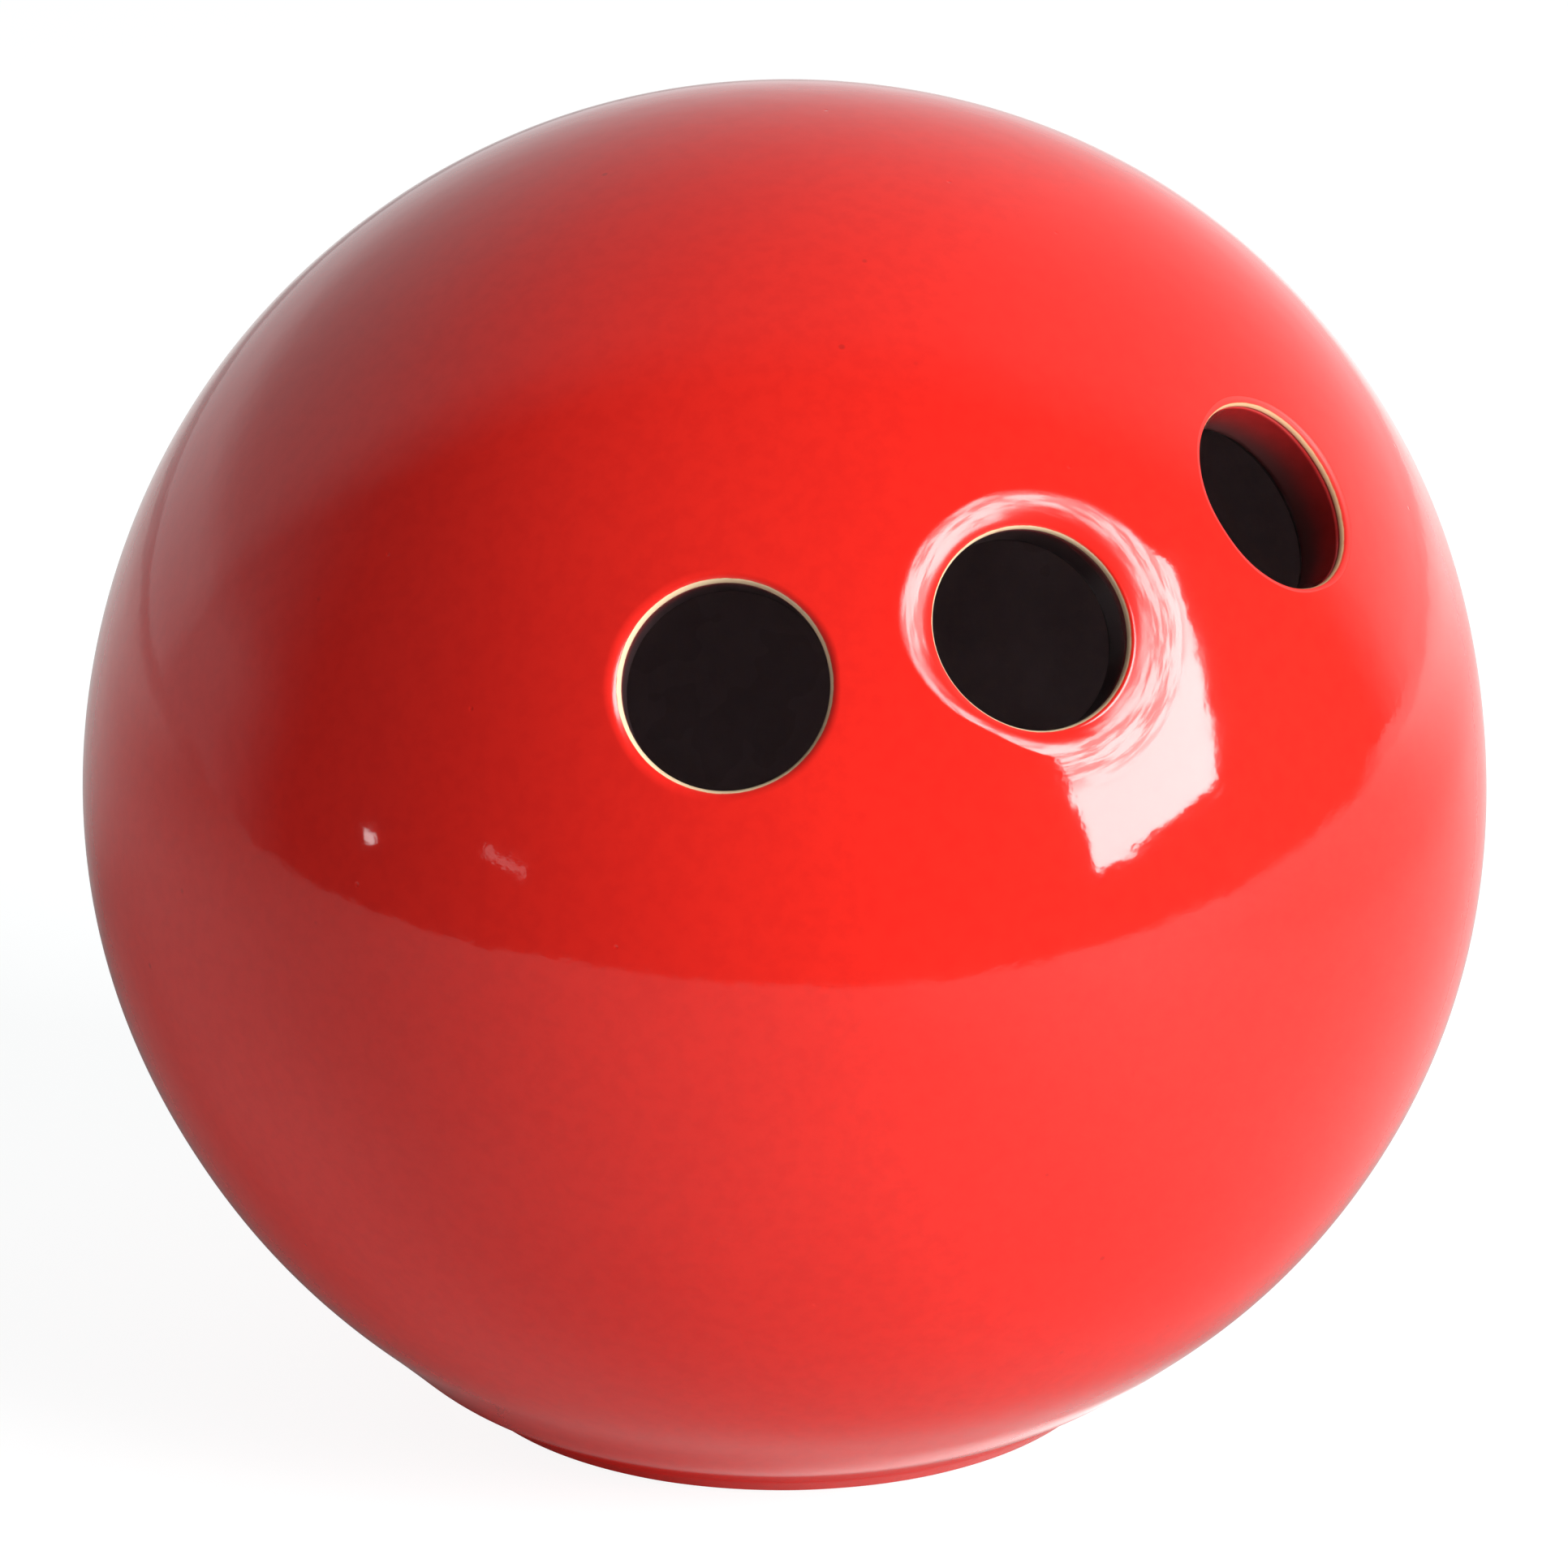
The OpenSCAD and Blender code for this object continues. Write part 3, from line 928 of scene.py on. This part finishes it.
def hole_glaze(hole, top, low, fade):
    """Wall glaze with painted shade that darkens it from top to low over a fade in millimetres
    down the hole.
    """
    paint = Paint("%s glaze" % hole.replace("_", " "))
    z = paint.dot(paint.centred, AXES[hole])
    mottle = paint.noise(scale=300.0, detail=3.0, rough=0.6)
    run = paint.noise(scale=60.0)
    color = paint.mix(paint.ramp(mottle, over=(0.3, 0.7), to=(0.0, 0.5)),
                      top, tuple(0.7 * x for x in top))
    # the painted shade has an uneven edge, like a run of glaze
    z = paint.plus(z, paint.times(paint.minus(run, 0.5), 3.0))
    fade_from = 104.8
    color = paint.mix(paint.ramp(z, over=(fade_from, fade_from - fade)), color, low)
    normal = paint.bump(paint.noise(scale=260.0), distance=0.00003)
    return paint.surface(color, rough=0.14, normal=normal, spec=0.5)


def clay():
    buff, tan, brown, speck = ((0.80, 0.62, 0.42), (0.68, 0.49, 0.31), (0.60, 0.40, 0.24),
                               (0.26, 0.16, 0.10))
    paint = Paint("bare buff clay")
    grain = paint.noise(scale=1400.0, detail=4.0, rough=0.65)
    patch = paint.noise(scale=90.0, detail=3.0)
    color = paint.mix(paint.ramp(grain, over=(0.3, 0.7)), buff, tan)
    color = paint.mix(paint.ramp(patch, over=(0.4, 0.7), to=(0.0, 0.35)), color, brown)
    specks = paint.ramp(paint.cells(scale=620.0), over=(0.08, 0.2), to=(0.55, 0.0))
    color = paint.mix(specks, color, speck)
    return paint.surface(color, rough=paint.ramp(patch, over=(0.3, 0.7), to=(0.62, 0.8)),
                         normal=paint.bump(grain, distance=0.00006), spec=0.3)


def hollow_glaze():
    pale, grey, warm, rim_shade = ((0.58, 0.49, 0.50), (0.53, 0.44, 0.45), (0.61, 0.50, 0.47),
                               (0.055, 0.040, 0.041))
    paint = Paint("dark liner glaze")
    cloud = paint.noise(scale=38.0, detail=3.0, rough=0.55)
    fine = paint.noise(scale=500.0, detail=3.0, rough=0.6)
    color = paint.mix(paint.ramp(cloud, over=(0.35, 0.65)), pale, grey)
    color = paint.mix(paint.ramp(fine, over=(0.35, 0.75), to=(0.0, 0.5)), color, warm)
    # painted shade darkens it where it ends at each hole
    point = paint.centred
    for axis in AXES.values():
        z = paint.dot(point, axis)
        square = paint.minus(paint.dot(point, point), paint.times(z, z))
        rim = paint.times(paint.ramp(square, over=(15.2 ** 2, 16.2 ** 2), to=(1.0, 0.0)),
                          paint.ramp(z, over=(40.0, 60.0)))
        color = paint.mix(rim, color, rim_shade)
    return paint.surface(color, rough=paint.ramp(cloud, over=(0.3, 0.7), to=(0.25, 0.42)),
                         normal=paint.bump(paint.noise(scale=130.0), distance=0.00012),
                         spec=0.5)


def base_glaze():
    tan, rust, pale, speck = ((0.60, 0.36, 0.24), (0.52, 0.23, 0.15), (0.70, 0.50, 0.35),
                              (0.22, 0.12, 0.08))
    paint = Paint("thin base glaze")
    wipe = paint.noise(scale=46.0, detail=3.0, rough=0.6)
    fine = paint.noise(scale=700.0, detail=3.0, rough=0.6)
    color = paint.mix(paint.ramp(wipe, over=(0.35, 0.62)), tan, rust)
    color = paint.mix(paint.ramp(fine, over=(0.4, 0.7), to=(0.0, 0.5)), color, pale)
    specks = paint.ramp(paint.cells(scale=300.0), over=(0.06, 0.14), to=(0.5, 0.0))
    color = paint.mix(specks, color, speck)
    # faint rings from turning
    rings_per_mm = 2.6                          # in radians
    rings = paint.math("SINE", paint.times(paint.from_z_axis(paint.centred), rings_per_mm))
    normal = paint.bump(fine, distance=0.00005, normal=paint.bump(rings, distance=0.00008))
    return paint.surface(color, rough=paint.ramp(wipe, over=(0.3, 0.7), to=(0.3, 0.5)),
                         normal=normal, spec=0.5)


def set_material(ob, material):
    ob.data.materials.clear()
    ob.data.materials.append(material)


set_material(coat, red_glaze())
# painted shade on the hole walls, lighter at the top of the right hole's wall where window light
# falls in
for hole, ob in liners.items():
    if hole == "right_hole":
        material = hole_glaze(hole, top=WALL_TOP_LIT_RIGHT, low=WALL_LOW_SHADED_RIGHT, fade=6.0)
    else:
        material = hole_glaze(hole, top=WALL_TOP_SHADED, low=WALL_LOW_SHADED, fade=2.5)
    set_material(ob, material)

# the CAD's own pieces
for piece, material in (("clay_body", clay()), ("inner_glaze", hollow_glaze()),
                        ("base_glaze", base_glaze())):
    for ob in bpy.context.scene.objects:
        if ob.type == "MESH" and ob.name.split(".")[0] == piece:
            # a piece may come with or without material slots
            if ob.data.materials:
                for slot in ob.material_slots:
                    slot.material = material
            else:
                ob.data.materials.append(material)


# ------------------------------------------------------------------ stage helpers
def room_point(azimuth, elevation, distance):
    """A point metres from the ball's centre; degrees from the camera's side, + to its right."""
    a, e = math.radians(azimuth), math.radians(elevation)
    level = TOWARD * math.cos(a) + RIGHT * math.sin(a)
    direction = level * math.cos(e) + UP * math.sin(e)
    return direction * distance + np.array([0, 0, CENTRE_Z / 1000.0])


def floor_point(right, toward, z):
    """A point in metres from millimetres to the camera's right, toward it and up."""
    point = RIGHT * right + TOWARD * toward
    return (point[0] / 1000.0, point[1] / 1000.0, z / 1000.0)


def flat_object(name, points, faces):
    mesh = bpy.data.meshes.new(name)
    mesh.from_pydata([tuple(float(x) for x in point) for point in points], [], faces)
    mesh.update()
    ob = bpy.data.objects.new(name, mesh)
    bpy.context.scene.collection.objects.link(ob)
    ob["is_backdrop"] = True
    return ob


def flat_rectangle(name, left, right, back, front, z):
    corners = ((left, back), (right, back), (right, front), (left, front))
    return flat_object(name, [floor_point(x, y, z) for x, y in corners], [(0, 1, 2, 3)])


def hide_from(ob, *rays):
    for ray in rays:
        setattr(ob, "visible_" + ray, False)


def panel(name, corners, distance, strength):
    """A glowing four-sided panel from its corners' directions, divided into a grid."""
    count = 8
    c = [room_point(azimuth, elevation, distance) for azimuth, elevation in corners]
    points, faces = [], []
    for i in range(count + 1):
        for j in range(count + 1):
            start = c[0] * (1 - i / count) + c[1] * (i / count)
            end = c[3] * (1 - i / count) + c[2] * (i / count)
            points.append(start * (1 - j / count) + end * (j / count))
    for i in range(count):
        for j in range(count):
            k = i * (count + 1) + j
            faces.append((k, k + 1, k + count + 2, k + count + 1))
    ob = flat_object(name, points, faces)
    paint = Paint(name + " glow")
    paint.show(paint.add("Emission", {"Color": WHITE, "Strength": strength}))
    ob.data.materials.append(paint.material)
    hide_from(ob, "camera", "shadow")
    return ob


# ------------------------------------------------------------------ light panels
# corners are (azimuth, elevation) in degrees, distances in metres
panel("stage_window", [(48.5, -0.7), (71.0, 5.6), (80.0, 32.0), (37.5, 40.0)],
      distance=2.6, strength=18.0)
panel("stage_lamp", [(-68.3, -0.7), (-66.6, -0.7), (-66.6, 0.9), (-68.3, 0.9)],
      distance=2.6, strength=9.0)
panel("stage_streak", [(-47.0, 2.0), (-40.0, 0.1), (-40.0, 1.5), (-47.0, 3.4)],
      distance=2.6, strength=1.6)

# ------------------------------------------------------------------ the table the glaze mirrors
# its front edge: millimetres right, millimetres toward the camera, width of the fading strip
TABLE_EDGE = [
    (-3000, -1034, 60), (-1400, -260, 40), (-1000, 20, 30), (-727, 205, 18), (-520, 372, 14),
    (-305, 521, 12), (-150, 524, 12), (-5, 517, 14), (180, 492, 18), (364, 458, 26),
    (560, 370, 60), (761, 262, 130), (1100, 60, 220), (1500, -300, 320), (3000, -1034, 500)]


def build_table():
    """A flat table top that fades out over a strip along its front edge."""
    edge = np.array([station[:2] for station in TABLE_EDGE], float)
    width = np.array([station[2] for station in TABLE_EDGE], float)
    along = np.gradient(edge, axis=0)
    along /= np.linalg.norm(along, axis=1)[:, None]
    out = np.stack([-along[:, 1], along[:, 0]], 1)
    out *= np.sign((out @ np.array([0.0, 1.0])))[:, None]
    half = out * width[:, None] * 0.5
    count = len(edge)
    back = [(-3000, -3600), (3000, -3600)]
    outline = list(edge - half) + list(edge + half) + back
    faces = [tuple(range(count)) + (2 * count + 1, 2 * count)]
    faces += [(i, count + i, count + i + 1, i + 1) for i in range(count - 1)]
    ob = flat_object("stage_table", [floor_point(x, y, -0.4) for x, y in outline], faces)
    add_float(ob, "solid", [1.0] * count + [0.0] * count + [1.0, 1.0])
    hide_from(ob, "camera")
    return ob


def table_glow(paint, x, y, radius):
    """Glow on the table; x is to the camera's right, y toward it, radius from the Z axis."""
    ramp = paint.ramp
    # a ring close round the foot, brightest on the right
    near = paint.plus(ramp(radius, over=(57.2, 60.2), to=(0.85, 0.0)),
                      ramp(radius, over=(58.5, 77.0), to=(0.15, 0.0)))
    near = paint.times(near, ramp(radius, over=(54.4, 55.8)),
                       ramp(x, over=(-48.0, 46.0), to=(0.0, 0.77), kind="LINEAR"))
    # the far part, a little more on the left, and a band on the right
    far = paint.times(ramp(y, over=(-140.0, -900.0), to=(0.0, 0.44)),
                      ramp(x, over=(-600.0, 500.0), to=(0.5, 1.50)))
    far = paint.plus(far, ramp(x, over=(-140.0, -420.0), to=(0.0, 0.06)))
    side = paint.times(ramp(x, over=(60.0, 200.0), to=(0.0, 0.12)),
                       ramp(x, over=(320.0, 480.0), to=(1.0, 0.0)),
                       ramp(y, over=(-300.0, -480.0), to=(1.0, 0.0)))
    return paint.plus(near, paint.plus(far, side))


def pale_table():
    plain, grey, dark = (0.41, 0.405, 0.40), (0.32, 0.315, 0.31), (0.07, 0.068, 0.066)
    paint = Paint("pale table")
    point = paint.vector("MULTIPLY", paint.position, TO_MM)
    x, y = paint.dot(point, RIGHT), paint.dot(point, TOWARD)
    radius = paint.from_z_axis(point)
    glow = table_glow(paint, x, y, radius)
    # painted shade: a greyer ring round the ball under its overhang, and a painted dark shadow
    # close to the foot on its left
    ring = paint.times(paint.ramp(radius, over=(60.0, 74.0)),
                       paint.ramp(radius, over=(90.0, 170.0), to=(1.0, 0.0)))
    shade = paint.times(paint.ramp(radius, over=(56.0, 63.0), to=(1.0, 0.0)),
                        paint.ramp(x, over=(12.0, -30.0)))
    top = paint.add("BsdfPrincipled", {
        "Base Color": paint.mix(shade, paint.mix(ring, plain, grey), dark),
        "Roughness": 0.7, "Specular IOR Level": 0.2,
        "Emission Color": WHITE, "Emission Strength": glow})
    clear = paint.add("BsdfTransparent")
    solid = paint.ramp(paint.attr("solid"), over=(0.0, 1.0))
    paint.show(paint.add("MixShader", {0: solid, 1: clear.outputs[0], 2: top.outputs[0]}))
    return paint.material


build_table().data.materials.append(pale_table())


# ------------------------------------------------------------------ soft fill and floor
def glowing_matt(name, color, glow, strength):
    """A matt material that also gives off light."""
    paint = Paint(name)
    matt = paint.add("BsdfDiffuse", {"Color": color})
    light = paint.add("Emission", {"Color": glow, "Strength": strength})
    paint.show(paint.add("AddShader", {0: matt.outputs[0], 1: light.outputs[0]}))
    return paint.material


# fill from the table and from the left, seen by the matt part of the glaze and not its mirror
fill = flat_rectangle("stage_fill_low", left=-1500, right=1500, back=-1500, front=900, z=-0.2)
hide_from(fill, "camera", "glossy", "shadow", "transmission")
fill.data.materials.append(
    glowing_matt("low fill", color=(0.62, 0.61, 0.60), glow=WHITE, strength=0.25))
left_fill = panel("stage_fill_left", [(-125.0, 0.0), (-60.0, 0.0), (-60.0, 34.0), (-125.0, 34.0)],
                  distance=2.4, strength=0.53)
hide_from(left_fill, "glossy")

# the plain pale floor that only the camera sees
floor = flat_rectangle("stage_floor", left=-9000, right=9000, back=-9000, front=9000, z=-0.05)
hide_from(floor, "diffuse", "glossy", "shadow", "transmission")
floor.data.materials.append(
    glowing_matt("pale floor", color=(0.20, 0.20, 0.20), glow=(0.985, 1.0, 1.0), strength=0.905))

# ------------------------------------------------------------------ world
# the backdrop's brightness: sine of the elevation, brightness
BACKDROP = [(0.0, 0.84), (0.2, 0.68), (0.375, 0.57), (0.616, 0.47), (0.883, 0.33), (1.0, 0.22)]
ROOM_DIM = (0.045, 0.052, 0.060)                # the dim room itself


def backdrop(nodes):
    """Brightness of the surroundings behind the ball, fading upward."""
    times, ramp = nodes.times, nodes.ramp
    direction = nodes.vector("NORMALIZE", nodes.add("TexCoord").outputs["Generated"])
    toward, right, z = (nodes.dot(direction, axis) for axis in (TOWARD, RIGHT, UP))
    fade = nodes.add("ValToRGB", {0: nodes.math("MAXIMUM", z, 0.0)})
    stops = fade.color_ramp
    stops.interpolation = "LINEAR"
    while len(stops.elements) < len(BACKDROP):
        stops.elements.new(0.5)
    for stop, (position, value) in zip(stops.elements, BACKDROP):
        stop.position = position
        stop.color = (value, value, value, 1)
    # nothing beyond a slanting line overhead
    slant = nodes.plus(times(toward, -1.0), times(z, 0.47))
    back = ramp(slant, over=(0.30, 0.62))
    # a little dimmer on the left, above the horizon
    left = times(ramp(right, over=(-0.15, -0.75)), ramp(z, over=(0.18, 0.62), to=(1.0, 0.0)))
    side = ramp(times(left, ramp(z, over=(0.10, 0.28))), over=(0.0, 1.0), to=(1.0, 0.72),
                kind="LINEAR")
    # a pale wall low on the left that reaches further round to the camera's side
    wall = times(ramp(right, over=(-0.45, -0.85)),
                 times(ramp(z, over=(0.05, 0.70), to=(1.0, 0.12)),
                       ramp(toward, over=(0.12, -0.32))))
    back = nodes.math("MAXIMUM", back, times(wall, 0.72))
    # dimmer toward the horizon on the left
    low = times(ramp(z, over=(-0.02, 0.17), to=(1.0, 0.0)), ramp(right, over=(0.05, -0.55)))
    back = times(back, ramp(low, over=(0.0, 1.0), to=(1.0, 0.72), kind="LINEAR"))
    return times(fade.outputs[0], back, side)


def build_world():
    """The room as the ball sees it, and plain white for the camera."""
    world = bpy.data.worlds.new("studio")
    bpy.context.scene.world = world
    world.use_nodes = True
    nodes = Nodes(world.node_tree, "OutputWorld")
    value = backdrop(nodes)
    color = nodes.add("CombineColor", {k: nodes.plus(value, dim)
                                       for k, dim in enumerate(ROOM_DIM)})
    room = nodes.add("Background", {"Color": color.outputs[0]})
    white = nodes.add("Background", {"Color": WHITE, "Strength": 1.0})
    by_camera = nodes.add("LightPath").outputs["Is Camera Ray"]
    nodes.show(nodes.add("MixShader", {
        0: by_camera, 1: room.outputs[0], 2: white.outputs[0]}))


build_world()

# ------------------------------------------------------------------ camera
SENSOR = 36.0                                   # sensor width
BALL_ON_SENSOR = 16.1236025                     # radius of the ball's outline on the sensor


def build_camera():
    data = bpy.data.cameras.new("camera")
    camera = bpy.data.objects.new("camera", data)
    bpy.context.scene.collection.objects.link(camera)
    bpy.context.scene.camera = camera
    place = np.array([0, 0, CENTRE_Z / 1000.0]) + CAM_DIR * (CAM_DIST * BALL_R / 1000.0)
    columns = (np.cross(CAM_UP, CAM_DIR), CAM_UP, CAM_DIR, place)
    camera.matrix_world = Matrix([[column[k] for column in columns] for k in range(3)]
                                 + [[0, 0, 0, 1]])
    data.sensor_width = SENSOR
    data.sensor_fit = "HORIZONTAL"
    data.lens = BALL_ON_SENSOR * math.sqrt(CAM_DIST ** 2 - 1)
    data.shift_x = -0.000879917184
    data.shift_y = -0.00310559006
    data.clip_start = 0.05
    data.clip_end = 60.0


build_camera()
view = bpy.context.scene.view_settings
view.view_transform = "Standard"
view.look = "None"
view.exposure = 0.0
view.gamma = 1.0


def plain(box):
    return [[float(x) for x in point] for point in box]


{"cad": plain(CAD_BOX), "visual": plain(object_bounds())}
